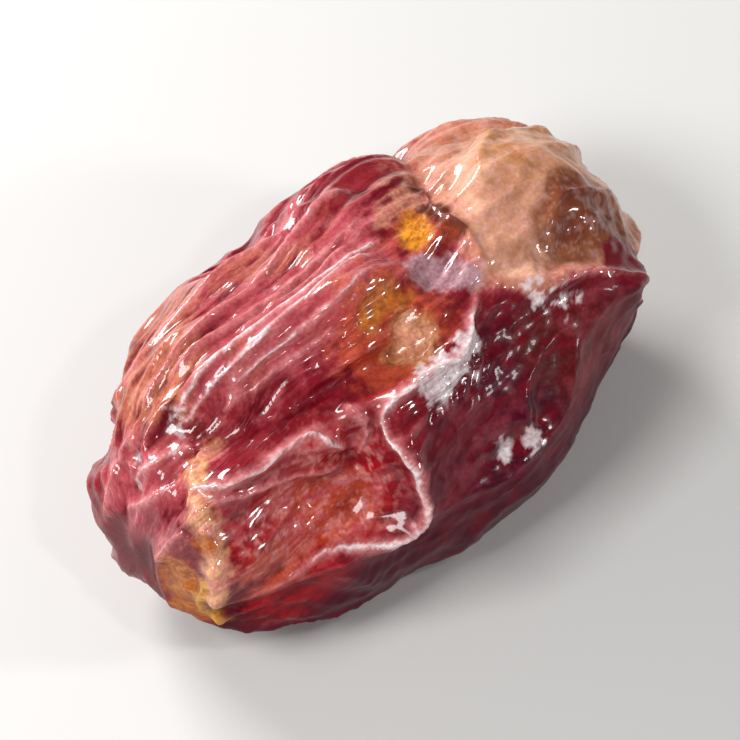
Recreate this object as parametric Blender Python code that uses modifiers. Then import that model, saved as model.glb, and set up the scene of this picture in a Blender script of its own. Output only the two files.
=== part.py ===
"""A dried sour cherry: one pitted fruit, shrunk lengthwise, lying on its flattened belly.

Run it with blender --background --python part.py, or from Blender's text editor.
Metres, +Z up. X runs along the fruit, from the puckered tip at -X to the folded knob at +X, and
-Y is its front flank. The origin is on the surface that the fruit lies on, under the middle of it.

The fruit starts as a plump blunt egg. Its skin is then drawn in: first the large forms, which are
dents and folds placed by hand, then the wrinkles, which follow a rule. A place on the skin is
(along, around): along is -1 at the tip and 1 at the knob end, and around is the angle in degrees
from the top of the fruit over to its front, so that 180 is the belly and -90 the back.
"""

import math
from collections import namedtuple

import bmesh
import bpy
import numpy as np
from mathutils import Vector, noise

MM = 0.001

# The plump shape
LENGTH = 16.6 * MM
WIDTH = 9.0 * MM
HEIGHT = 7.8 * MM
BLUNTNESS = 2.3
FULLER_AT_KNOB = 0.06

# The flat spot on the belly is cut this far up from the plump shape's lowest point
BELLY_CUT = 0.42 * MM

# The mesh: each cut level of the starting cube splits every face in four
CUT_LEVELS = 7
TRIANGLES = 9000

Fold = namedtuple("Fold", "height width pinch path")
Dent = namedtuple("Dent", "depth radius place")
Wrinkles = namedtuple("Wrinkles", "height density stretch start")

# How near a fold's line the skin is pinched towards it, in widths of the fold
PINCH_REACH = 0.7

# Crests stand up from the skin and are sharp, as a pinched skin is
FRONT_RIM = [(0.27, 24), (0.11, 32), (-0.06, 35), (-0.20, 37), (-0.26, 50), (-0.28, 68)]
FRONT_RIM += [(-0.38, 79), (-0.58, 81), (-0.84, 88)]
POCKET_SILL = [(-0.76, 12), (-0.66, 20), (-0.56, 26), (-0.46, 31), (-0.42, 44)]
TIP_BAND = [(-0.72, -14), (-0.75, 12), (-0.81, 38), (-0.89, 94)]
TOP_RIDGE = [(0.14, -2), (-0.05, 0), (-0.28, -6), (-0.50, -13), (-0.74, -22)]
SHOULDER = [(0.26, -34), (0.10, -33), (-0.18, -28), (-0.46, -30), (-0.76, -44)]
KNOB_LIP = [(0.30, 22), (0.40, 38), (0.50, 44), (0.60, 62), (0.76, 96), (0.86, 120)]
BACK_RIDGE = [(0.66, -74), (0.20, -80), (-0.25, -74), (-0.74, -84)]
BACK_KEEL = [(0.74, -132), (0.25, -122), (-0.20, -128), (-0.66, -120)]
FRONT_KEEL = [(0.60, 122), (0.10, 116), (-0.40, 122), (-0.76, 116)]
CRESTS = [
    Fold(0.85, 1.05, 0.35, FRONT_RIM),
    Fold(0.50, 0.65, 0.30, POCKET_SILL),
    Fold(0.50, 0.60, 0.30, TIP_BAND),
    Fold(0.50, 0.70, 0.35, TOP_RIDGE),
    Fold(0.55, 0.95, 0.35, SHOULDER),
    Fold(0.55, 0.60, 0.35, KNOB_LIP),
    Fold(0.75, 1.30, 0.35, BACK_RIDGE),
    Fold(0.70, 1.20, 0.35, BACK_KEEL),
    Fold(0.45, 1.30, 0.30, FRONT_KEEL),
]

# Furrows are creases where the flesh has sunk and drawn the skin in
TOP_VALLEY = [(0.00, 16), (-0.19, 24), (-0.41, 16), (-0.63, 6), (-0.80, -6)]
UNDER_RIM = [(-0.36, 34), (-0.37, 48), (-0.40, 62), (-0.52, 71), (-0.72, 76)]
NECK = [(0.60, -112), (0.55, -76), (0.49, -46), (0.42, -22), (0.33, 4)]
LIP_GROOVE = [(0.44, 26), (0.55, 36), (0.66, 30)]
BACK_VALLEY = [(0.56, -104), (0.10, -100), (-0.30, -102), (-0.70, -104)]
PIT_SLIT = [(0.99, -150), (0.82, -140), (0.52, -150)]
BELLY_FOLD = [(0.46, 150), (0.05, 142), (-0.45, 150)]
FURROWS = [
    Fold(0.75, 0.80, 0.30, TOP_VALLEY),
    Fold(0.65, 0.60, 0.20, UNDER_RIM),
    Fold(0.75, 0.75, 0.35, NECK),
    Fold(0.35, 0.50, 0.20, LIP_GROOVE),
    Fold(1.15, 0.95, 0.35, BACK_VALLEY),
    Fold(1.20, 0.75, 0.35, PIT_SLIT),
    Fold(0.80, 0.90, 0.30, BELLY_FOLD),
]

# Dents are round places where the flesh has sunk, and a negative depth is a bulge
DENTS = {
    "pocket": Dent(0.80, 2.3, (-0.52, 50)),
    "orange dip": Dent(0.50, 1.3, (-0.04, 24)),
    "flat by the neck": Dent(0.30, 1.3, (0.20, 14)),
    "top towards the tip": Dent(0.30, 2.4, (-0.25, -18)),
    "front flank": Dent(-0.40, 3.8, (0.10, 96)),
    "knob": Dent(-0.40, 2.6, (0.66, -4)),
    "front of the knob": Dent(-0.25, 1.3, (0.64, 50)),
    "hollow in the knob's end": Dent(0.50, 1.2, (0.97, 30)),
    "tip's own scar": Dent(0.30, 1.4, (-1.0, 0)),
    "back": Dent(0.70, 2.6, (0.0, -58)),
    "mouth of the pit slit": Dent(1.00, 1.5, (0.96, -140)),
    "back of the tip": Dent(0.45, 2.0, (-0.66, -100)),
}

# Layers of meandering wrinkles: how high, how many, how much longer than wide, and where in the noise
WRINKLE_LAYERS = [
    Wrinkles(0.62, 1.10, 2.4, (3.1, 0.4, 7.7)),
    Wrinkles(0.42, 2.30, 2.6, (9.2, 5.1, 2.3)),
    Wrinkles(0.20, 4.60, 2.6, (1.2, 8.1, 4.3)),
]

# Three more starts in the noise, for how the wrinkles wander along X, Y and Z
WARP_STARTS = [(9.3, 0.5, 2.8), (1.6, 7.9, 4.4), (5.2, 3.7, 8.1)]

SKIN_COLOUR = (0.16, 0.008, 0.014, 1.0)


def unit_directions(along, around):
    """Unit vectors of places on the skin, from along and around in degrees."""
    along = np.asarray(along, float)
    angle = np.radians(np.asarray(around, float))
    across = np.sqrt(np.clip(1.0 - along**2, 0.0, 1.0))
    return np.stack([along, -across * np.sin(angle), across * np.cos(angle)], axis=1)


def plump(directions):
    """Points of the plump fruit, one for each unit direction: a blunt egg, fuller at the knob."""
    norm = np.sum(np.abs(directions) ** BLUNTNESS, axis=1) ** (1.0 / BLUNTNESS)
    points = directions / norm[:, None] * (np.array([LENGTH, WIDTH, HEIGHT]) / 2)
    points[:, 1:] *= 1.0 + FULLER_AT_KNOB * directions[:, :1]
    return points


def smooth_path(path, steps=10):
    """Places along a smooth curve through a fold's own places."""
    knots = np.array([path[0], *path, path[-1]], float)
    found = []
    for before, start, end, after in zip(knots, knots[1:], knots[2:], knots[3:]):
        for t in np.linspace(0.0, 1.0, steps, endpoint=False):
            bend = 2 * before - 5 * start + 4 * end - after
            twist = 3 * start - before - 3 * end + after
            found.append(start + 0.5 * ((end - before) * t + bend * t**2 + twist * t**3))
    found.append(knots[-1])
    return np.array(found)


def reach_of_fold(points, path):
    """For each point: the way to a fold's line, how long it is, and its share of the line, from 0 to 1."""
    places = smooth_path(path)
    line = plump(unit_directions(places[:, 0], places[:, 1]))
    way = np.zeros_like(points)
    nearest = np.full(len(points), np.inf)
    share = np.zeros(len(points))
    for i, (a, b) in enumerate(zip(line, line[1:])):
        along = np.clip((points - a) @ (b - a) / max((b - a) @ (b - a), 1e-12), 0.0, 1.0)
        to_line = a + along[:, None] * (b - a) - points
        gap = np.linalg.norm(to_line, axis=1)
        closer = gap < nearest
        nearest[closer] = gap[closer]
        way[closer] = to_line[closer]
        share[closer] = (i + along[closer]) / (len(line) - 1)
    return way, nearest, share


def fade_ends(share, reach=0.25):
    """1 along a fold, falling smoothly to 0 at both of its ends."""
    t = np.clip(np.minimum(share, 1.0 - share) / reach, 0.0, 1.0)
    return t * t * (3.0 - 2.0 * t)


def large_forms(points):
    """How far the hand-placed folds and dents move each point outwards, and sideways."""
    outwards = np.zeros(len(points))
    sideways = np.zeros_like(points)
    for folds, sign in ((CRESTS, 1), (FURROWS, -1)):
        for fold in folds:
            way, gap, share = reach_of_fold(points, fold.path)
            strength = fade_ends(share)
            gap = gap / (fold.width * MM)
            outwards += sign * fold.height * MM * strength * np.exp(-np.sqrt(gap**2 + 0.01) + 0.1)
            sideways += way * (fold.pinch * strength * np.exp(-((gap / PINCH_REACH) ** 2)))[:, None]
    for dent in DENTS.values():
        centre = plump(unit_directions([dent.place[0]], [dent.place[1]]))[0]
        gap = np.linalg.norm(points - centre, axis=1) / (dent.radius * MM)
        outwards -= dent.depth * MM * np.clip(1.0 - gap**2, 0.0, 1.0) ** 2
    return outwards, sideways


def wrinkle(direction):
    """How far the skin stands out or in at one direction, by the rule of its wrinkles."""
    x, y, z = direction
    across = math.hypot(y, z) or 1.0
    seed = Vector(direction) * 1.7
    warp = 0.45 * Vector([noise.noise(seed + Vector(shift)) for shift in WARP_STARTS])
    found = 0.5 * noise.noise(Vector(direction) * 1.2 + Vector((4, 0, 9)))
    for layer in WRINKLE_LAYERS:
        place = Vector((x * 2.0 / layer.stretch, y / across, z / across)) + warp
        ridge = 1.0 - min(abs(noise.noise(place * layer.density + Vector(layer.start))) / 0.42, 1.0)
        ease = 0.55 + 0.9 * noise.noise(Vector(direction) * 2.0 + Vector(layer.start))
        found += layer.height * ridge**1.7 * min(max(ease, 0.1), 1.0)
    # The front flank is stretched smooth, and the tip and the knob are drawn in tight
    smooth = 0.75 * math.exp(-(((y + 0.75) ** 2 + (z + 0.35) ** 2) / 0.55 + (x - 0.15) ** 2 / 0.5))
    tight = 0.6 * min(max((-x - 0.72) / 0.28, 0.0), 1.0)
    dome = 0.5 * math.exp(-((y + 0.05) ** 2 + (z - 0.75) ** 2 + (x - 0.72) ** 2) / 0.25)
    return (found - 0.30) * (1.0 - smooth) * (1.0 - tight) * (1.0 - dome) * MM


def set_points(mesh, points):
    mesh.vertices.foreach_set("co", points.astype(np.float32).ravel())
    mesh.update()


def points_of(mesh):
    found = np.empty(len(mesh.vertices) * 3, np.float32)
    mesh.vertices.foreach_get("co", found)
    return found.reshape(-1, 3).astype(float)


def normals_of(mesh):
    found = np.empty(len(mesh.vertices) * 3, np.float32)
    mesh.vertex_normals.foreach_get("vector", found)
    return found.reshape(-1, 3).astype(float)


def round_start(name):
    """A finely cut round cube, whose vertices are evenly spread over a sphere."""
    bpy.ops.mesh.primitive_cube_add(size=2)
    fruit = bpy.context.object
    fruit.name = fruit.data.name = name
    cuts = fruit.modifiers.new("cuts", "SUBSURF")
    cuts.subdivision_type = "SIMPLE"
    cuts.levels = cuts.render_levels = CUT_LEVELS
    ball = fruit.modifiers.new("ball", "CAST")
    ball.factor = 1.0
    ball.radius = 1.0
    ball.use_radius_as_size = False
    bpy.ops.object.modifier_apply(modifier=cuts.name)
    bpy.ops.object.modifier_apply(modifier=ball.name)
    return fruit


def shrivel(fruit):
    """Draws the round start out to the plump fruit, then sinks its large forms and its wrinkles."""
    mesh = fruit.data
    directions = points_of(mesh)
    directions /= np.linalg.norm(directions, axis=1)[:, None]
    set_points(mesh, plump(directions))
    outwards, sideways = large_forms(points_of(mesh))
    outwards += np.array([wrinkle(d) for d in directions])
    set_points(mesh, points_of(mesh) + normals_of(mesh) * outwards[:, None] + sideways)
    relax = fruit.modifiers.new("relax", "SMOOTH")
    relax.factor = 0.5
    relax.iterations = 6
    bpy.ops.object.modifier_apply(modifier=relax.name)


def thin_out(fruit):
    """Keeps the faces where the skin bends and drops them where it is nearly flat."""
    fewer = fruit.modifiers.new("fewer", "DECIMATE")
    fewer.ratio = TRIANGLES / (2 * len(fruit.data.polygons))
    bpy.ops.object.modifier_apply(modifier=fewer.name)


def flatten_belly(fruit):
    """Cuts the flat spot that the fruit lies on."""
    work = bmesh.new()
    work.from_mesh(fruit.data)
    cut = bmesh.ops.bisect_plane(
        work,
        geom=work.verts[:] + work.edges[:] + work.faces[:],
        plane_co=(0, 0, -HEIGHT / 2 + BELLY_CUT),
        plane_no=(0, 0, -1),
        clear_outer=True,
    )
    rim = [e for e in cut["geom_cut"] if isinstance(e, bmesh.types.BMEdge)]
    bmesh.ops.holes_fill(work, edges=rim)
    bmesh.ops.triangulate(work, faces=work.faces[:])
    bmesh.ops.recalc_face_normals(work, faces=work.faces[:])
    work.to_mesh(fruit.data)
    work.free()


def settle(fruit):
    """Moves the fruit so that its flat spot lies at Z 0 with the origin under its middle."""
    points = points_of(fruit.data)
    low, high = points.min(axis=0), points.max(axis=0)
    middle = (low + high) / 2
    set_points(fruit.data, points - [middle[0], middle[1], low[2]])


def skin_material():
    skin = bpy.data.materials.new("cherry_skin")
    skin.use_nodes = True
    shader = skin.node_tree.nodes["Principled BSDF"]
    shader.inputs["Base Color"].default_value = SKIN_COLOUR
    shader.inputs["Roughness"].default_value = 0.28
    return skin


def main():
    for old in list(bpy.data.objects):
        bpy.data.objects.remove(old)
    fruit = round_start("dried_sour_cherry")
    shrivel(fruit)
    thin_out(fruit)
    flatten_belly(fruit)
    settle(fruit)
    fruit.data.shade_smooth()
    fruit.data.materials.append(skin_material())
    print("size in mm:", np.round(np.ptp(points_of(fruit.data), axis=0) / MM, 2))


main()
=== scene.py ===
# %% [markdown]
# # A dried sour cherry
#
# A sour cherry that has lost its water is all skin: the flesh shrinks, the skin doesn't, and so it
# stands in folds. The large folds are in the solid model already. This script adds what the eye
# asks for close up: wrinkles of three sizes, thin pinched crests that catch the light, torn places
# where amber flesh shows, and a skin that is glossy, dark where the fruit is thick and bright
# where it is thin. Its colour also holds painted highlights on the crests and glints, and painted
# shade in the hollows, on the flank and underneath.

# %% Load the solid model and keep its size
import math

import bpy
import numpy as np
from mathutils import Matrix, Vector, noise


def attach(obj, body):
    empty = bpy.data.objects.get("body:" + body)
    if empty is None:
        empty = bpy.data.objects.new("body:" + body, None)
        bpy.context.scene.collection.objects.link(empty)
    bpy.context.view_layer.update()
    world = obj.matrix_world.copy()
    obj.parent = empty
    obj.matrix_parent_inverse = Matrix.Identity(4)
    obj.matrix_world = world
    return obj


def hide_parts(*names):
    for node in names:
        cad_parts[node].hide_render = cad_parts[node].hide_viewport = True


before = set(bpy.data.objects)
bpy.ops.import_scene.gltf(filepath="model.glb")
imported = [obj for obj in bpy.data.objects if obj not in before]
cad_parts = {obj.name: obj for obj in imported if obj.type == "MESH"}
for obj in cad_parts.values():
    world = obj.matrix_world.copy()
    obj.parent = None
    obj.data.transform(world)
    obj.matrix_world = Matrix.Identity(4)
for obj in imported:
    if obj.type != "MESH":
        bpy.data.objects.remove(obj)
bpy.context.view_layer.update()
MM = 0.001

# %% [markdown]
# ## The skin starts as a copy of the solid
#
# The solid has about nine thousand uneven triangles, which is too coarse for wrinkles a third of a
# millimetre apart. A voxel remesh lays an even net of small squares over it. A few rounds of
# smoothing then take away the flat faces that the triangles left. We could subdivide instead, but
# long thin triangles subdivide into long thin wrinkles.

# %% Copy the solid and lay an even net over it
SKIN_CELL = 0.084 * MM


def select_only(piece):
    bpy.ops.object.select_all(action="DESELECT")
    piece.select_set(True)
    bpy.context.view_layer.objects.active = piece


def apply_new_modifier(piece, kind, **settings):
    """Adds one modifier, sets it and applies it."""
    modifier = piece.modifiers.new(kind.title(), kind)
    for name, value in settings.items():
        setattr(modifier, name, value)
    select_only(piece)
    bpy.ops.object.modifier_apply(modifier=modifier.name)


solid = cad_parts["dried_sour_cherry"]
cherry = bpy.data.objects.new("cherry", solid.data.copy())
cherry.data.name = "cherry"
bpy.context.scene.collection.objects.link(cherry)
select_only(cherry)
bpy.ops.object.mode_set(mode="EDIT")
bpy.ops.mesh.select_all(action="SELECT")
bpy.ops.mesh.remove_doubles(threshold=0.0005 * MM)
bpy.ops.object.mode_set(mode="OBJECT")
apply_new_modifier(cherry, "REMESH", mode="VOXEL", voxel_size=SKIN_CELL, use_smooth_shade=True)
apply_new_modifier(cherry, "SMOOTH", factor=0.5, iterations=6)
print("skin:", len(cherry.data.vertices), "points,", len(cherry.data.polygons), "squares")

# %% [markdown]
# All folds run together at the tip, and their ends would stand there as small spikes. A vertex group
# tells the Smooth modifier where to work: fully at the tip's end, and less and less away from it.

# %% Soften the very end of the tip
TIP_END = Vector((-8.0, 0.3, 2.9))
SOFT_REACH = 2.2
SOFT_FADE = 0.8

end_group = cherry.vertex_groups.new(name="tip end")
for point in cherry.data.vertices:
    from_end = (point.co - TIP_END * MM).length / MM
    if from_end < SOFT_REACH:
        weight = min(1.0, (SOFT_REACH - from_end) / SOFT_FADE)
        end_group.add([point.index], weight, "REPLACE")
print("points softened at the tip:", sum(1 for point in cherry.data.vertices if point.groups))
apply_new_modifier(cherry, "SMOOTH", factor=0.5, iterations=30, vertex_group="tip end")
cherry.vertex_groups.clear()

# %% [markdown]
# ## Places on a fruit
#
# To put a fold where it belongs we need a map of the fruit. As on a globe, two numbers are enough:
# along runs from -1 at the puckered tip to 1 at the knob, and around is the angle in degrees from
# the top over to the front flank. The solid was shaped with the same two numbers, from the same
# plump shape, so a fold named here lands on the fold that is already there.

# %% Read every point's place on the fruit
PLUMP_CENTRE = np.array([-0.04, 0.12, 3.48]) * MM
PLUMP_HALF = np.array([8.3, 4.5, 3.9]) * MM


def read_points(mesh):
    found = np.empty(len(mesh.vertices) * 3, np.float32)
    mesh.vertices.foreach_get("co", found)
    return found.reshape(-1, 3).astype(float)


def read_normals(mesh):
    found = np.empty(len(mesh.vertices) * 3, np.float32)
    mesh.vertex_normals.foreach_get("vector", found)
    return found.reshape(-1, 3).astype(float)


def write_points(mesh, points):
    mesh.vertices.foreach_set("co", points.astype(np.float32).ravel())
    mesh.update()


def places_of(points):
    """(along, around) of each point, around in degrees."""
    from_centre = (points - PLUMP_CENTRE) / PLUMP_HALF
    from_centre /= np.linalg.norm(from_centre, axis=1)[:, None]
    around = np.degrees(np.arctan2(-from_centre[:, 1], from_centre[:, 2]))
    return from_centre[:, 0], around


points = read_points(cherry.data)
along, around = places_of(points)
print("along from", round(along.min(), 2), "to", round(along.max(), 2))

# %% [markdown]
# ## Wrinkles by a rule
#
# Real wrinkles keep one spacing, fork, and die out, because each crest takes up the slack skin on
# both sides of it. A rule does the same: start from random heights, then again and again keep
# only what rises above its wider surroundings. After a dozen rounds the noise has settled into
# even, branching stripes. A Fourier transform makes each round one multiplication, on a flat
# square map that is rolled round the fruit.

# %% Grow the maps of wrinkles
MAP_SIZE = 1024
MAP_SPAN = 28 * MM


def grow_wrinkles(spacing, stretch, along_grain, start, rounds=12):
    """A square map of stripes, about -1 to 1. stretch is how much longer than wide they run, and
    along_grain, from 0 to 1, how strictly they keep to the fruit's length."""
    turns = np.fft.fftfreq(MAP_SIZE, d=MAP_SPAN / MAP_SIZE)
    across_map, along_map = np.meshgrid(turns, turns, indexing="ij")
    reach = np.hypot(across_map, along_map * stretch) * spacing
    lean = np.arctan2(along_map * stretch, across_map)
    keep = np.exp(-(((reach - 1.0) / 0.28) ** 2)) * (1.0 - along_grain * np.sin(lean) ** 2)
    heights = np.random.default_rng(start).normal(size=(MAP_SIZE, MAP_SIZE))
    for _ in range(rounds):
        heights = np.fft.ifft2(np.fft.fft2(heights) * keep).real
        heights = np.tanh(1.8 * heights / heights.std())
    heights = np.fft.ifft2(np.fft.fft2(heights) * keep).real
    return heights / np.percentile(np.abs(heights), 97)


def read_map(heights, down, right):
    """Heights at places given as shares of the map, mixed from the four nearest cells."""
    row = (down % 1.0) * MAP_SIZE
    column = (right % 1.0) * MAP_SIZE
    top = np.floor(row).astype(int)
    left = np.floor(column).astype(int)
    row -= top
    column -= left
    found = 0.0
    for step_down, share_down in ((0, 1.0 - row), (1, row)):
        for step_right, share_right in ((0, 1.0 - column), (1, column)):
            cell = heights[(top + step_down) % MAP_SIZE, (left + step_right) % MAP_SIZE]
            found = found + cell * share_down * share_right
    return found


wide_map = grow_wrinkles(1.25 * MM, 2.4, 0.60, start=11)
middle_map = grow_wrinkles(0.62 * MM, 3.6, 0.80, start=12)
fine_map = grow_wrinkles(0.33 * MM, 3.6, 0.60, start=13)
crumple_map = grow_wrinkles(0.95 * MM, 1.0, 0.0, start=14)
dimple_map = grow_wrinkles(0.38 * MM, 1.0, 0.0, start=15)
net_map = grow_wrinkles(0.85 * MM, 1.5, 0.25, start=16)
print("maps grown, each", MAP_SIZE, "cells square")

# %% [markdown]
# ## Folds that the photo shows
#
# A rule can't know that one crest runs from the neck down the front in an S. Such folds are drawn
# as a few places each, and a smooth curve is passed through them. The nearer a point is to the
# curve, the more it rises: the profile is sharp at the crest and hollow beside it, as pinched skin
# is. Each fold has its height and width in millimetres, how pale its edge will be painted, from 0
# to 1, and its places.

# %% Draw the folds
FRONT_RIM = [(0.30, 24), (0.16, 30), (0.04, 37), (-0.12, 35), (-0.24, 36), (-0.27, 43), (-0.26, 55)]
FRONT_RIM += [(-0.27, 68), (-0.31, 76), (-0.40, 79), (-0.52, 78), (-0.64, 78), (-0.85, 86)]
KNOB_LIP = [(0.30, 24), (0.36, 34), (0.43, 42), (0.50, 46), (0.57, 58), (0.70, 84), (0.78, 104)]
SILL = [(-0.76, 14), (-0.69, 20), (-0.60, 25), (-0.51, 26), (-0.46, 28), (-0.43, 34), (-0.42, 42)]
# The third number of each fold is the strength of the highlight painted along its crest.
FINE_CRESTS = {
    "front rim": (0.30, 0.14, 1.0, FRONT_RIM),
    "pocket sill": (0.30, 0.15, 0.8, SILL),
    "crest above the pocket": (0.20, 0.15, 0.5, [(-0.33, 26), (-0.31, 34), (-0.34, 41), (-0.41, 48)]),
    "pocket line": (0.20, 0.17, 0.4, [(-0.74, 20), (-0.68, 28), (-0.64, 34), (-0.56, 42), (-0.46, 50)]),
    "tip band": (0.26, 0.26, 0.0, [(-0.72, -4), (-0.74, 18), (-0.78, 36), (-0.83, 58), (-0.87, 86)]),
    "yellow edge": (0.22, 0.15, 0.0, [(-0.86, 58), (-0.90, 78), (-0.89, 100), (-0.83, 118)]),
    "tip wrinkle one": (0.22, 0.16, 0.7, [(-0.88, -26), (-0.80, -12), (-0.72, -4)]),
    "tip wrinkle two": (0.20, 0.16, 0.6, [(-0.94, -30), (-0.90, -8), (-0.80, 6)]),
    "tip wrinkle three": (0.22, 0.16, 0.4, [(-0.97, 40), (-0.92, 30), (-0.82, 26)]),
    "tip wrinkle four": (0.20, 0.16, 0.3, [(-0.96, -60), (-0.86, -44), (-0.74, -30)]),
    "long ridge one":
        (0.20, 0.14, 0.9, [(0.18, -11), (-0.02, -9), (-0.21, -9), (-0.46, -11), (-0.66, -16)]),
    "long ridge two":
        (0.20, 0.14, 0.8, [(0.12, -6), (-0.10, -5), (-0.34, -6), (-0.55, -9), (-0.70, -12)]),
    "long ridge three":
        (0.18, 0.16, 0.4, [(0.24, -36), (0.10, -33), (-0.16, -27), (-0.48, -27), (-0.70, -34)]),
    "long ridge four": (0.18, 0.14, 0.5, [(0.20, -20), (-0.04, -17), (-0.30, -17), (-0.60, -26)]),
    "long ridge five": (0.16, 0.15, 0.4, [(0.16, -46), (-0.10, -44), (-0.40, -44), (-0.66, -52)]),
    "long ridge six": (0.16, 0.13, 0.7, [(0.02, 2), (-0.14, 1), (-0.34, -1), (-0.52, -4)]),
    "long ridge seven": (0.15, 0.13, 0.4, [(0.06, -14), (-0.14, -13), (-0.38, -14)]),
    "long ridge eight": (0.15, 0.13, 0.4, [(-0.16, 8), (-0.30, 6), (-0.46, 2), (-0.60, -2)]),
    "knob lip": (0.16, 0.18, 0.3, KNOB_LIP),
    "neck edge": (0.20, 0.18, 0.2, [(0.30, 24), (0.34, 12), (0.37, 0), (0.42, -14), (0.47, -28)]),
    "knob wrinkle": (0.12, 0.20, 0.0, [(0.52, 26), (0.62, 20), (0.74, 26), (0.86, 38)]),
}


def smooth_curve(places, steps=8):
    """Places along a smooth curve through the given ones."""
    knots = np.array([places[0], *places, places[-1]], float)
    found = []
    for before, start, end, after in zip(knots, knots[1:], knots[2:], knots[3:]):
        for t in np.linspace(0.0, 1.0, steps, endpoint=False):
            bend = 2 * before - 5 * start + 4 * end - after
            twist = 3 * start - before - 3 * end + after
            found.append(start + 0.5 * ((end - before) * t + bend * t**2 + twist * t**3))
    found.append(knots[-1])
    return np.array(found)


def direction(along_it, around_it):
    """The unit direction of a place on the fruit."""
    across = math.sqrt(max(1.0 - along_it**2, 0.0))
    angle = math.radians(around_it)
    return np.array([along_it, -across * math.sin(angle), across * math.cos(angle)])


from_centre = (points - PLUMP_CENTRE) / PLUMP_HALF
from_centre /= np.linalg.norm(from_centre, axis=1)[:, None]


def point_at(along_it, around_it):
    """The point of the skin at a place on the fruit."""
    return points[np.argmax(from_centre @ direction(along_it, around_it))]


def gap_to_curve(places):
    """For each point of the skin: the way to a curve on it, that way's length, and a number that is
    1 along the curve and fades to 0 at its ends."""
    line = np.array([point_at(*place) for place in smooth_curve(places)])
    nearest = np.full(len(points), np.inf)
    share = np.zeros(len(points))
    to_curve = np.zeros_like(points)
    for i, (a, b) in enumerate(zip(line, line[1:])):
        way = b - a
        t = np.clip((points - a) @ way / max(way @ way, 1e-14), 0.0, 1.0)
        reach = a + t[:, None] * way - points
        gap = np.linalg.norm(reach, axis=1)
        closer = gap < nearest
        nearest[closer] = gap[closer]
        to_curve[closer] = reach[closer]
        share[closer] = (i + t[closer]) / (len(line) - 1)
    ease = np.clip(np.minimum(share, 1.0 - share) / 0.13, 0.0, 1.0)
    return to_curve, nearest, ease * ease * (3.0 - 2.0 * ease)


# %% Measure how near each point is to each fold
CREST_HIGHLIGHT_WIDTH = 0.095
RIM_WIDTH = 0.45
BAND_WIDTH = 0.40
YELLOW_WIDTH = 0.16
PINCH = 0.4


def near(gap, width):
    """1 on a curve, falling in a bell shape to nothing about two widths away."""
    return np.exp(-((gap / (width * MM)) ** 2))


crests = np.zeros(len(points))
painted_crest_highlight = np.zeros(len(points))
band = np.zeros(len(points))
yellow_edge = np.zeros(len(points))
beside_rim = np.zeros(len(points))
pinch = np.zeros_like(points)
for name, (height, width, highlight_strength, places) in FINE_CRESTS.items():
    to_curve, gap, ease = gap_to_curve(places)
    sharp = np.exp(-np.sqrt((gap / (width * MM)) ** 2 + 0.01) + 0.1)
    crests = np.maximum(crests, height * ease * sharp)
    # Painted highlight: a thin pale line of colour laid along each crest.
    painted_crest_highlight = np.maximum(painted_crest_highlight, highlight_strength * ease * near(gap, CREST_HIGHLIGHT_WIDTH))
    pinch += to_curve * (PINCH * ease * near(gap, width))[:, None]
    if name in ("front rim", "pocket sill", "knob lip"):
        beside_rim = np.maximum(beside_rim, ease * near(gap, RIM_WIDTH))
    if name == "tip band":
        band = ease * near(gap, BAND_WIDTH)
    if name == "yellow edge":
        yellow_edge = ease * near(gap, YELLOW_WIDTH)
print("folds drawn:", len(FINE_CRESTS))

# %% [markdown]
# ## Regions of the skin
#
# The fruit isn't the same all over. The front flank is stretched smooth and nearly black, partly
# as painted shade, the top is finely lined and gets painted light, the tip is crumpled, the knob is
# dull and brown, and in a few places the skin has torn and shows amber flesh. Each region is a
# number from 0 to 1 for each point, made from soft round spots. The same numbers steer both the
# wrinkles and the colours.

# %% Helpers for regions


def spot(place, radius):
    """1 at a place on the skin, falling smoothly to 0 at the radius, in millimetres."""
    gap = np.linalg.norm(points - point_at(*place), axis=1) / (radius * MM)
    ease = np.clip(1.0 - gap, 0.0, 1.0)
    return ease * ease * (3.0 - 2.0 * ease)


def spots(*places_and_radii):
    return np.clip(sum(spot(place, radius) for place, radius in places_and_radii), 0.0, 1.0)


def ramp(values, low, high):
    """0 below low, 1 above high, and smooth between them."""
    share = np.clip((values - low) / (high - low), 0.0, 1.0)
    return share * share * (3.0 - 2.0 * share)


print("ramp at a quarter of its way:", round(float(ramp(0.25, 0.0, 1.0)), 2))

# %% Mark the large regions
top = spots(((0.0, -18), 4.2), ((-0.35, -22), 3.8), ((-0.10, -40), 3.6))
RIM_ALONG = [-0.85, -0.40, -0.27, -0.12, 0.16, 0.30, 0.50, 0.70, 1.00]
RIM_AROUND = [86, 79, 56, 36, 31, 27, 46, 84, 110]
beyond_rim = around - np.interp(along, RIM_ALONG, RIM_AROUND)
flank = ramp(beyond_rim, 1, 9) * ramp(172 - around, 0, 24) * ramp(along, -0.97, -0.80)
tip = spots(((-0.95, 20), 3.2), ((-0.90, -60), 3.0), ((-0.92, 110), 2.6))
pocket = spots(((-0.60, 50), 2.6), ((-0.50, 60), 2.2), ((-0.72, 52), 1.8)) * ramp(-beyond_rim, -8, 2)
UNDERSIDE = [((0.10, 140), 7.0), ((-0.5, 150), 5.5), ((0.6, 140), 5.5)]
dark_and_shaded_side = spots(*UNDERSIDE, ((0.45, 105), 3.6), ((0.1, 80), 3.4))
under_lip = np.interp(along, [place[0] for place in KNOB_LIP], [place[1] for place in KNOB_LIP])
NECK_AROUND = [-90, -30, -15, 0, 14, 24, 44]
NECK_ALONG = [0.58, 0.52, 0.45, 0.38, 0.31, 0.27, 0.30]
beyond_neck = along - np.interp(around, NECK_AROUND, NECK_ALONG)
lip_room = under_lip - around + np.interp(along, [0.36, 0.45], [14.0, 3.0])
knob = ramp(beyond_neck, -0.08, 0.08) * ramp(lip_room, 0, 16) * ramp(around, -95, -30)
fade_behind = np.interp(around, [-60, 0], [3.5, 1.0])
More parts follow.
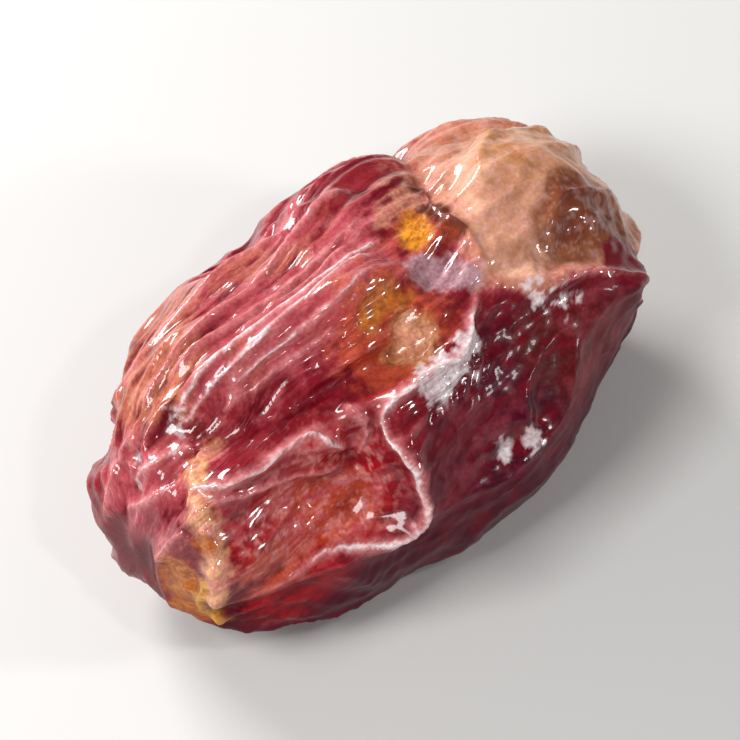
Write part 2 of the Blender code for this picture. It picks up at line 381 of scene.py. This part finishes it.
fade_at_end = np.interp(along, [0.80, 0.94], [1.0, 3.0])
knob_colour = ramp(beyond_neck / fade_behind, -0.08, 0.08) * ramp(lip_room / fade_at_end, 0, 16)
knob_colour *= ramp(around, -115, -20)
low_at_end = ramp(along, 0.72, 0.90) * (1.0 - ramp(points[:, 2], 1.0 * MM, 3.8 * MM))
knob_colour *= 1.0 - low_at_end
print("knob covers", round(100 * float((knob > 0.5).mean())), "% of the skin")

# %% Mark the small places
shaded_cup = spots(((0.60, 54), 1.25), ((0.66, 66), 1.15))
sub_bulge = spots(((0.60, 32), 1.5), ((0.72, 38), 1.6), ((0.66, 20), 1.0))
beak = spots(((0.72, 80), 1.4), ((0.78, 96), 1.0))
knob_dome = spots(((0.78, 0), 3.0), ((0.66, -10), 2.4))
shaded_neck_crease = spots(((0.38, -7), 0.8), ((0.34, 4), 0.7), ((0.44, -22), 0.6))
pale_patch = spots(((0.21, 14), 1.05), ((0.16, 8), 0.8), ((0.25, 20), 0.7))
amber_tear = spots(((-0.01, 22), 0.85), ((-0.03, 28), 0.8), ((-0.09, 26), 0.6))
orange_tear = spots(((-0.03, 9), 0.85), ((-0.09, 12), 0.7), ((0.03, 13), 0.6))
neck_tear = spots(((0.27, -5), 0.75), ((0.22, -1), 0.60), ((0.31, -10), 0.5))
ember_halo = spots(((-0.02, 16), 2.4), ((-0.14, 20), 1.8), ((0.24, -2), 1.4))
tip_tear = spots(((-0.94, 56), 1.0), ((-0.95, 84), 1.1), ((-0.91, 118), 0.9), ((-0.80, 36), 0.5))
UPPER_GLINTS = [((0.0, 40), 1.4), ((-0.10, 41), 1.0), ((0.08, 42), 0.9)]
LOWER_GLINTS = [((0.10, 77), 1.1), ((0.0, 74), 0.8)]
glints = spots(*UPPER_GLINTS, *LOWER_GLINTS)
# Places of painted highlights: near-white glints laid into the colour, over the glossy dimples.
UPPER_CORES = [((0.01, 39), 0.95), ((-0.08, 39), 0.85), ((0.10, 37), 0.6)]
LOWER_CORES = [((0.10, 77), 0.65), ((0.03, 76), 0.5)]
painted_glint_core = spots(*UPPER_CORES, *LOWER_CORES)
KNOB_PAINTED_GLINTS = [((0.36, 40), 0.85), ((0.42, 47), 0.75)]
TIP_PAINTED_GLINTS = [((-0.67, -14), 0.75), ((-0.86, -24), 0.7)]
painted_glint_flecks = spots(*KNOB_PAINTED_GLINTS, *TIP_PAINTED_GLINTS)
print("glossy dimples cover", round(100 * float((glints > 0.5).mean()), 1), "% of the skin")

# %% [markdown]
# ## Where each kind of wrinkle goes
#
# A smooth stripe of the map becomes a sharp crest with a wide hollow beside it, as skin folds. Each
# map then goes only where such wrinkles are seen: long ones on the top, a net behind, crumples at
# the tip, and hardly any on the front flank, which is stretched tight.

# %% Helpers for the relief


def crest_shape(heights, sharpness=2.0):
    """Turns even stripes into sharp crests, 1 high, with wide hollows between them."""
    from_crest = np.arccos(np.clip(heights, -1.0, 1.0)) / math.pi
    return (1.0 - from_crest) ** sharpness


def noise_at(size, shift):
    """Smooth noise from 0 to 1 for each point, with lumps about this many millimetres across."""
    scaled = points / (size * MM)
    values = [noise.fractal(Vector(place) + Vector(shift), 0.6, 2.0, 3) for place in scaled]
    return np.clip(0.5 + 0.5 * np.array(values), 0.0, 1.0)


print("a stripe's middle height becomes", round(float(crest_shape(0.0)), 2))

# %% Roll the maps round the fruit
wander = np.array([noise.noise(Vector(way) * 1.6 + Vector((2, 5, 1))) for way in from_centre])
wander_two = np.array([noise.noise(Vector(way) * 3.1 + Vector((7, 1, 4))) for way in from_centre])
down = around / 360.0 + 0.045 * wander + 0.012 * wander_two
right = np.arccos(-np.clip(along, -1, 1)) / math.pi * 0.75 + 0.03 * wander
across = np.sqrt(1.0 - np.clip(along, -1, 1) ** 2)
wide = crest_shape(read_map(wide_map, down, right))
net = crest_shape(read_map(net_map, down, right))
middle = crest_shape(read_map(middle_map, down, right))
fine = crest_shape(read_map(fine_map, down, right), 1.6)
dimple = crest_shape(read_map(dimple_map, down, right))
end_on = np.clip((0.62 - across) / 0.25, 0.0, 1.0)
crumple_beside = read_map(crumple_map, down, right)
crumple_end_on = read_map(crumple_map, points[:, 1] / MAP_SPAN + 0.5, points[:, 2] / MAP_SPAN + 0.3)
crumple = crest_shape(crumple_beside * (1.0 - end_on) + crumple_end_on * end_on)
print("mean height of the wide wrinkles:", round(float(wide.mean()), 2))

# %% Raise the wrinkles and the folds, in millimetres
WIDE_RISE = 0.13
MIDDLE_RISE = 0.13
NET_RISE = 0.20
FINE_RISE = 0.08
CRUMPLE_RISE = 0.18
FLANK_RISE = 0.06
HOLLOW = 0.3
BEAK_TRIM = 0.35
FILM = 0.05
TEAR_DEPTH = 0.08

calm = 1.0 - 0.9 * flank
lined = np.clip(1.0 - 0.75 * knob - 0.5 * tip - 0.85 * pocket, 0.0, 1.0) * (1.0 - 0.75 * beside_rim)
crumpled = np.clip(tip + 0.35 * pocket + 0.55 * knob, 0.0, 1.0)
reach_to_ends = ramp(across, 0.10, 0.62)

behind = ramp(-around, 40, 90) + ramp(around, 150, 175)
uneven = np.clip(0.65 + 1.1 * wander_two, 0.15, 1.0)
rise = WIDE_RISE * (wide - HOLLOW) * calm * lined * (1.0 - 0.7 * top) * reach_to_ends
rise += MIDDLE_RISE * (middle - HOLLOW) * calm * lined * uneven * reach_to_ends * (1.0 - 0.6 * behind)
rise += NET_RISE * (net - HOLLOW) * behind * calm * lined * reach_to_ends * ramp(along, -0.97, -0.80)
rise += FINE_RISE * (fine - HOLLOW) * calm * lined * np.clip(1.4 - uneven, 0.4, 1.0) * reach_to_ends
rise += CRUMPLE_RISE * (crumple - HOLLOW) * crumpled * (1.0 - 0.2 * end_on)
rise += FLANK_RISE * flank * (crumple - HOLLOW)
rise += (0.10 * glints + 0.03 * flank + 0.03 * knob) * (dimple - HOLLOW)
rise += crests
torn = np.clip(amber_tear + orange_tear + neck_tear + tip_tear, 0.0, 1.0)
relief = rise.copy()
rise -= BEAK_TRIM * beak
rise -= FILM + TEAR_DEPTH * ramp(torn, 0.4, 0.6)
lie_flat = np.clip((points[:, 2] - 0.15 * MM) / (0.9 * MM), 0.0, 1.0)
moved = points + read_normals(cherry.data) * (rise * lie_flat * MM)[:, None] + pinch
moved[:, 2] = np.maximum(moved[:, 2], 0.0)
write_points(cherry.data, moved)
apply_new_modifier(cherry, "SMOOTH", factor=0.5, iterations=2)
print("rise from", round(rise.min(), 2), "to", round(rise.max(), 2), "mm")

# %% [markdown]
# ## Painting the skin, layer by layer
#
# Dried cherry skin is a thin red film over dark flesh. Where it is pinched into a crest there is
# little flesh behind it and it turns pink; the crests also get painted highlights. In the hollows
# and on the thick front flank it is a red so deep that it looks purple or black, and painted shade
# deepens it there and underneath, while painted light makes the top lighter. We paint as one
# would with a brush: a ground colour over all of it, then one layer after another, each through a
# mask. A mask is a region with its edge broken up by noise, because nothing on a fruit ends in a
# clean line.

# %% Choose the colours
CRIMSON = (0.26, 0.006, 0.017)
WINE = (0.17, 0.003, 0.012)
ROSE = (0.47, 0.070, 0.090)
TAWNY_ROSE = (0.50, 0.150, 0.090)
PURPLE = (0.070, 0.0015, 0.015)
RUSSET = (0.105, 0.012, 0.010)
BRIGHT_RED = (0.36, 0.006, 0.014)
EMBER = (0.56, 0.080, 0.035)
PINK = (0.70, 0.23, 0.24)
TAN = (0.76, 0.42, 0.28)
TAN_PINK = (0.60, 0.26, 0.17)
BROWN = (0.33, 0.100, 0.035)
DARK_BROWN = (0.12, 0.022, 0.008)
LAVENDER = (0.50, 0.29, 0.33)
AMBER = (0.62, 0.27, 0.10)
ORANGE = (0.60, 0.19, 0.025)
YELLOW = (0.75, 0.38, 0.045)
PALE_ROSE = (0.88, 0.62, 0.62)
HONEY = (0.60, 0.29, 0.12)
APRICOT = (0.86, 0.42, 0.25)
BURNT_ORANGE = (0.50, 0.125, 0.020)
GOLD = (0.80, 0.31, 0.02)
# The near-white of the painted glints and of the painted crest highlights.
PAINTED_GLINT_WHITE = (0.84, 0.74, 0.77)

print("the ground colour, as linear red, green and blue:", CRIMSON)

# %% Helpers for painting
broad = noise_at(2.2, (3, 1, 7))
small = noise_at(0.55, (5, 8, 2))
tiny = noise_at(0.22, (1, 6, 4))
paint = np.tile(np.array(CRIMSON), (len(points), 1))


def ragged(mask, edge=0.5, softness=0.12, wildness=0.7):
    """Breaks up the soft edge of a region with noise and makes it crisp."""
    broken = mask + wildness * (0.6 * small + 0.4 * tiny - 0.5)
    return ramp(broken, edge - softness, edge + softness) * ramp(mask, 0.0, 0.2)


def lay(colour, mask):
    """Lays a colour over the skin, fully where the mask is 1."""
    paint[:] += np.clip(mask, 0.0, 1.0)[:, None] * (np.array(colour) - paint)


print("points to paint:", len(paint))

# %% Lay the ground colours, painted light on the top and painted shade on the flank and underside
height = relief + 0.10 * (small - 0.5)
lay(WINE, 0.8 * ramp(broad, 0.45, 0.65))
# Painted light: the top, which faces the lamps, is painted a lighter rose and tawny rose.
lay(ROSE, 0.9 * ragged(top, 0.30, 0.25))
lay(TAWNY_ROSE, 0.6 * top * ramp(broad, 0.5, 0.7))
# Partly painted shade: the underside and the flank away from the lamps are painted purple, darker than
# the thick skin's own deep red.
lay(PURPLE, ragged(np.maximum(dark_and_shaded_side, 0.7 * flank), 0.45, 0.45, 0.5))
lay(CRIMSON, 0.8 * ragged(spots(((0.24, -38), 1.6), ((0.10, -38), 1.2)), 0.4, 0.2))
shoulder = spots(((0.36, -22), 1.2), ((0.30, -15), 0.9), ((0.22, -13), 0.7))
lay(TAN_PINK, 0.85 * ragged(shoulder, 0.4, 0.35))
# Partly painted sheen: the left flank and the tip are painted lighter, partly their own tawny colour
# and partly painted light.
lay(TAWNY_ROSE, 0.9 * ragged(spots(((-0.55, -46), 2.6), ((-0.40, -60), 2.2)), 0.35, 0.3))
lay(TAWNY_ROSE, ragged(spots(((-0.66, -27), 1.7), ((-0.53, -29), 1.7)), 0.35, 0.35))
lay(ROSE, 0.8 * ragged(spots(((-0.88, -18), 2.4), ((-0.80, -4), 1.6)), 0.35, 0.25))
lay(RUSSET, 0.8 * ragged(spots(((0.42, 72), 3.0), ((0.30, 52), 1.6)), 0.45, 0.4, 0.5))
lay(BRIGHT_RED, ragged(spots(((-0.72, 96), 2.2), ((-0.60, 90), 1.2)), 0.5, 0.25))
print("after the ground colours:", np.round(paint.mean(axis=0), 3))

# %% Paint the hollow below the rim, painted light on the crests and painted shade in the deep places
lay(BRIGHT_RED, ragged(pocket, 0.40, 0.25))
lay(EMBER, ragged(spots(((-0.66, 58), 1.9), ((-0.52, 66), 1.5), ((-0.74, 70), 1.3)), 0.40, 0.3, 1.0))
lay(ROSE, 0.8 * pocket * ramp(small, 0.50, 0.62))
lay(TAWNY_ROSE, 0.6 * pocket * ramp(tiny, 0.54, 0.68))
# Painted shade and light, with the thin skin's own pink: the hollows are painted wine dark and the
# raised crests pink.
lay(WINE, ramp(-height, -0.02, 0.05) * (1.0 - 0.6 * pocket))
lay(PINK, ramp(height, 0.05, 0.17) * (1.0 - 0.9 * dark_and_shaded_side) * (0.75 - 0.3 * pocket))
lay(ROSE, 0.30 * flank * ramp(0.6 * small + 0.4 * broad, 0.44, 0.68) * ramp(-around, -105, -75))
# Painted shade: the underside, facing the floor, is painted a deeper purple.
painted_shade_underneath = spots(((-0.40, 110), 2.8), ((0.05, 118), 3.0), ((0.40, 112), 2.4))
lay(PURPLE, 0.8 * ragged(painted_shade_underneath, 0.4, 0.4, 0.5))
# Painted highlights: small pink specks in the hollow below the rim.
lay(PINK, 0.5 * pocket * ramp(tiny, 0.54, 0.66))
print("after the crests:", np.round(paint.mean(axis=0), 3))

# %% [markdown]
# The knob at the stem end has lost its red film, so the dried flesh shows: tan, honey at the top and
# brown where it bulges. Behind, the tan fades into rose over a few millimetres.

# %% Paint the knob
tan = ragged(knob_colour, 0.40, 0.35, 0.9)
lay(ROSE, 0.7 * ramp(knob, 0.0, 0.35) * (1.0 - 0.7 * flank))
lay(TAN, tan)
lay(HONEY, 0.9 * tan * knob_dome)
lay(TAWNY_ROSE, 0.9 * tan * ramp(-knob_colour - 0.3 * small, -1.12, -0.75))
lay(TAWNY_ROSE, 0.7 * tan * ramp(-around, 20, 60))
lay(ROSE, 0.8 * tan * ramp(-around, 30, 80) * ramp(small, 0.42, 0.56))
lay(PINK, 0.35 * tan * ramp(tiny, 0.52, 0.62) * ramp(around, -20, 10))
lay(TAN_PINK, 0.6 * tan * ramp(small, 0.42, 0.60))
lay(BROWN, 0.3 * tan * ramp(-broad, -0.50, -0.36))
lay(BROWN, tan * ragged(sub_bulge, 0.28, 0.3))
lay(RUSSET, 0.7 * tan * ragged(sub_bulge, 0.60, 0.4))
lay(DARK_BROWN, 0.6 * tan * ramp(sub_bulge, 0.1, 0.3) * ramp(-sub_bulge, -0.6, -0.3))
# Painted shade: the knob's hollows are painted brown.
lay(BROWN, 0.5 * tan * ramp(-height, -0.01, 0.05))
lay(PALE_ROSE, 0.15 * tan * ramp(tiny, 0.56, 0.72))
# Painted shade: the crease at the neck and the hollow under the knob's lip are painted dark.
lay(DARK_BROWN, ragged(shaded_neck_crease, 0.45, 0.15))
lay(WINE, ragged(shaded_cup, 0.35, 0.15))
print("tan covers", round(100 * float(tan.mean())), "% of the skin")

# %% [markdown]
# Where the skin is torn, amber flesh shows. It is laid from the outside in: a red glow, orange, then
# the palest colour in the middle, each with a softer or harder edge, so that a tear has no outline.

# %% Paint the tears and the band at the tip
lay(AMBER, ragged(band, 0.50, 0.35, 0.9))
lay(APRICOT, 0.8 * ragged(band, 0.65, 0.35, 0.9))
lay(PINK, 0.7 * band * ramp(small, 0.50, 0.64))
lay(EMBER, 0.8 * ragged(ember_halo, 0.50, 0.45, 1.4))
lay(ORANGE, 0.85 * ragged(orange_tear, 0.50, 0.45, 1.3))
lay(AMBER, ragged(amber_tear, 0.40, 0.40, 1.2))
lay(APRICOT, 0.8 * ragged(amber_tear, 0.70, 0.3, 1.4))
lay(ORANGE, ragged(neck_tear, 0.30, 0.3, 0.35))
lay(GOLD, 0.85 * ragged(neck_tear, 0.66, 0.3, 0.5))
lay(BURNT_ORANGE, ragged(tip_tear, 0.45, 0.35, 1.1))
lay(ORANGE, 0.7 * ragged(tip_tear, 0.70, 0.3, 1.1))
lay(TAN_PINK, 0.6 * ramp(amber_tear, 0.2, 0.6) * ramp(tiny, 0.50, 0.66))
lay(RUSSET, 0.4 * torn * ramp(-tiny, -0.46, -0.34))
lay(YELLOW, yellow_edge)
lay(LAVENDER, 0.9 * ragged(pale_patch, 0.55, 0.3, 1.4))
print("torn skin covers", round(100 * float(torn.mean()), 1), "% of the fruit")

# %% Paint highlights along the crest edges and painted glints
# Painted highlights: the crest edges are painted pink, pale rose and near white, broken up by noise.
broken_crest_highlight = painted_crest_highlight * (0.80 + 0.20 * ramp(0.5 * small + 0.5 * tiny, 0.40, 0.56))
lay(PINK, broken_crest_highlight * (1.0 - tan))
lay(PALE_ROSE, ramp(broken_crest_highlight, 0.45, 0.80) * (1.0 - 0.5 * tan))
lay(PAINTED_GLINT_WHITE, 0.75 * ramp(broken_crest_highlight, 0.50, 0.80) * ramp(small, 0.42, 0.54))
# Painted highlights: near-white glints at the glint cores and flecks.
lay(PAINTED_GLINT_WHITE, 0.8 * ragged(painted_glint_core, 0.52, 0.16, 1.6))
lay(PAINTED_GLINT_WHITE, 0.7 * ragged(painted_glint_flecks, 0.75, 0.14, 2.6))
print("mean colour:", np.round(paint.mean(axis=0), 3))

# %% Store the paint and the rest on the mesh


def store(mesh, name, kind, field, values):
    attribute = mesh.attributes.new(name, kind, "POINT")
    attribute.data.foreach_set(field, values.astype(np.float32).ravel())


facing_down = ramp(-read_normals(cherry.data)[:, 2], -0.35, 0.15)
wet = 0.75 - 0.60 * np.maximum(flank, dark_and_shaded_side) - 0.20 * tan - 0.5 * facing_down
wet += 0.5 * glints + 0.5 * painted_crest_highlight + 0.4 * painted_glint_flecks
rough_skin = np.clip(1.0 - flank - 0.7 * pocket + 1.2 * glints, 0.0, 1.0)
round_it = 2.0 * math.pi * down
grain_place = np.stack([right * 28 / 3.2, 4.2 * np.cos(round_it), 4.2 * np.sin(round_it)], axis=1)
store(cherry.data, "paint", "FLOAT_COLOR", "color", np.column_stack([paint, np.ones(len(paint))]))
store(cherry.data, "wet", "FLOAT", "value", np.clip(wet, 0.0, 1.0))
store(cherry.data, "rough_skin", "FLOAT", "value", rough_skin)
store(cherry.data, "glints", "FLOAT", "value", glints)
store(cherry.data, "dull", "FLOAT", "value", np.clip(tan, 0.0, 1.0))
store(cherry.data, "grain_place", "FLOAT_VECTOR", "vector", grain_place)
stored = [attribute.name for attribute in cherry.data.attributes]
print("stored:", [name for name in stored if not name.startswith(".")])

# %% [markdown]
# ## Shader maths as Python
#
# A node tree is a formula drawn as boxes. One small class wraps a socket, so that a formula can be
# written as a formula.

# %% The socket class


class Wire:
    """A shader socket that takes part in Python sums and feeds the nodes that come after it."""

    def __init__(self, tree, socket=None):
        self.tree = tree
        self.socket = socket

    def node(self, kind, sockets=(), out=0, **settings):
        """A new node: its settings first, then the values or links of its sockets."""
        made = self.tree.nodes.new("ShaderNode" + kind)
        for name, value in settings.items():
            setattr(made, name, value)
        for name, value in dict(sockets).items():
            if isinstance(value, Wire):
                self.tree.links.new(value.socket, made.inputs[name])
            else:
                made.inputs[name].default_value = value
        return Wire(self.tree, made.outputs[out])

    def maths(self, operation, first, second=0.0):
        return self.node("Math", {0: first, 1: second}, operation=operation)

    def __add__(self, other):
        return self.maths("ADD", self, other)

    def __sub__(self, other):
        return self.maths("SUBTRACT", self, other)

    def __rsub__(self, other):
        return self.maths("SUBTRACT", other, self)

    def __mul__(self, other):
        return self.maths("MULTIPLY", self, other)

    def __abs__(self):
        return self.maths("ABSOLUTE", self)

    __radd__ = __add__
    __rmul__ = __mul__

    def clamp(self):
        return self.node("Clamp", {0: self})

    def between(self, low, high):
        """0 below low, 1 above high, and smooth between them."""
        spread = {0: self, 1: low, 2: high, 3: 0.0, 4: 1.0}
        return self.node("MapRange", spread, interpolation_type="SMOOTHSTEP")

    def shade(self, colour, tint):
        """The colour where this is 0, and the colour times the tint where it is 1."""
        sockets = {0: self, 6: colour, 7: tint}
        return self.node("Mix", sockets, out=2, data_type="RGBA", blend_type="MULTIPLY")


# %% [markdown]
# ## The finish of the skin
#
# The painted points are about a twelfth of a millimetre apart. What is finer than that comes from
# the shader: lines of a tenth of a millimetre that run along the fruit, and small pebbles, both as
# bumps and as a change of shade. Light gets into the skin, wanders about and comes out red, which
# subsurface scattering does. A thin wet coat gives the crisp highlights, and it is thin where
# the skin is dry.

# %% Finish the skin


def new_material(name):
    material = bpy.data.materials.new(name)
    material.use_nodes = True
    tree = material.node_tree
    shader = tree.nodes["Principled BSDF"]
    return material, shader, Wire(tree)


def feed(shader, **sockets):
    """Links or sets the shader's sockets, named with underscores for spaces."""
    for name, value in sockets.items():
        socket = shader.inputs[name.replace("_", " ")]
        if isinstance(value, Wire):
            value.tree.links.new(value.socket, socket)
        else:
            socket.default_value = value


def finish_skin():
    material, shader, start = new_material("cherry_skin")
    place = start.node("TexCoord", out=3)
    painted = start.node("Attribute", attribute_name="paint")
    lined_place = start.node("Attribute", out=1, attribute_name="grain_place")
    wet_here = start.node("Attribute", out=2, attribute_name="wet")
    rough_here = start.node("Attribute", out=2, attribute_name="rough_skin")
    dull_here = start.node("Attribute", out=2, attribute_name="dull")
    glint_here = start.node("Attribute", out=2, attribute_name="glints")

    def cloud(vector, size, detail=2.0):
        """Soft noise from 0 to 1, whose lumps are about this size."""
        return start.node("TexNoise", {"Vector": vector, "Scale": 1 / size, "Detail": detail})

    lines = 1 - (abs(cloud(lined_place, 0.30) - 0.5) * 7).clamp()
    fine_lines = 1 - (abs(cloud(lined_place, 0.14) - 0.5) * 6).clamp()
    pebbles = start.node("TexVoronoi", {"Vector": place, "Scale": 1 / (0.24 * MM)}, feature="SMOOTH_F1")
    speckle = cloud(place, 0.10 * MM, 3.0)
    skin = (lines * 0.5 * (1 - dull_here * 0.8)).shade(painted, (0.55, 0.30, 0.32, 1))
    grain = 1 - dull_here * 0.5
    skin = (speckle.between(0.40, 0.70) * grain).shade(skin, (1.15, 1.30, 1.25, 1))
    skin = ((1 - speckle).between(0.45, 0.75) * grain).shade(skin, (0.86, 0.74, 0.74, 1))
    height = (lines * 0.7 + fine_lines * 0.4) * rough_here * (1 - dull_here * 0.7)
    height = height + pebbles * (0.5 + glint_here * 1.2) + speckle * 0.25
    bump = start.node("Bump", {"Height": height, "Strength": 1.0, "Distance": 0.022 * MM})
    roughness = 0.34 + (speckle - 0.5) * 0.2 + dull_here * 0.05 - glint_here * 0.20
    feed(shader, Base_Color=skin, Roughness=roughness.clamp(), Normal=bump)
    feed(shader, Coat_Weight=wet_here)
    feed(shader, Subsurface_Weight=0.12, Subsurface_Scale=0.45 * MM)
    feed(shader, Subsurface_Radius=(1.0, 0.18, 0.12))
    feed(shader, Coat_Roughness=0.09, Coat_IOR=1.5, IOR=1.20)
    return material


cherry.data.materials.clear()
cherry.data.materials.append(finish_skin())
cherry.data.shade_smooth()
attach(cherry, "root")
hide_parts("dried_sour_cherry")
print("materials:", [material.name for material in cherry.data.materials])

# %% [markdown]
# ## Floor, light and camera
#
# A pale floor, one large soft window from the left, a second from the front left, and two small
# brighter lamps for the crisp highlights.

# %% Lay the floor
FLOOR_SIDE = 800 * MM

bpy.ops.mesh.primitive_plane_add(size=FLOOR_SIDE, location=(0, 0, 0))
floor = bpy.context.object
floor.name = "floor"
floor_material, floor_shader, _ = new_material("pale_floor")
feed(floor_shader, Base_Color=(0.66, 0.65, 0.635, 1), Roughness=0.7)
floor.data.materials.append(floor_material)
print("floor side in mm:", round(floor.dimensions.x / MM))

# %% Place the camera
AZIMUTH = math.radians(-45.7)
ELEVATION = math.radians(55)
LENS = 345
AIM = Vector((0.0, 0.0, 3.6)) * MM
DISTANCE = 180 * MM

back_x = math.sin(AZIMUTH) * math.cos(ELEVATION)
back_y = -math.cos(AZIMUTH) * math.cos(ELEVATION)
back = Vector((back_x, back_y, math.sin(ELEVATION)))
camera = bpy.data.objects.new("camera", bpy.data.cameras.new("camera"))
bpy.context.scene.collection.objects.link(camera)
camera.data.lens = LENS
camera.data.clip_start = 1 * MM
camera.location = AIM + back * DISTANCE
camera.rotation_euler = back.to_track_quat("Z", "Y").to_euler()
bpy.context.scene.camera = camera
print("camera in mm:", [round(part / MM) for part in camera.location])

# %% Hang the lights, at places counted from the camera's side
side = Vector((math.cos(AZIMUTH), math.sin(AZIMUTH), 0))
up = Vector((0, 0, 1))
away = Vector((-math.sin(AZIMUTH), math.cos(AZIMUTH), 0))


def softbox(name, place, watts, width, height):
    """A rectangular lamp at a place given as right, away from the camera and up, in millimetres."""
    lamp = bpy.data.objects.new(name, bpy.data.lights.new(name, "AREA"))
    bpy.context.scene.collection.objects.link(lamp)
    lamp.data.shape = "RECTANGLE"
    lamp.data.size = width * MM
    lamp.data.size_y = height * MM
    lamp.data.energy = watts
    lamp.location = AIM + (side * place[0] + away * place[1] + up * place[2]) * MM
    lamp.rotation_euler = (lamp.location - AIM).to_track_quat("Z", "Y").to_euler()


softbox("window", (-62, 66, 46), 0.12, 46, 30)
softbox("front window", (-48, -40, 75), 0.07, 40, 30)
softbox("spark", (90, -12, 42), 0.030, 12, 16)
softbox("top spark", (30, -40, 84), 0.010, 6, 6)

world = bpy.data.worlds.new("studio")
bpy.context.scene.world = world
world.use_nodes = True
world.node_tree.nodes["Background"].inputs["Color"].default_value = (1.0, 1.0, 1.0, 1)
world.node_tree.nodes["Background"].inputs["Strength"].default_value = 0.13
bpy.context.scene.view_settings.view_transform = "Standard"
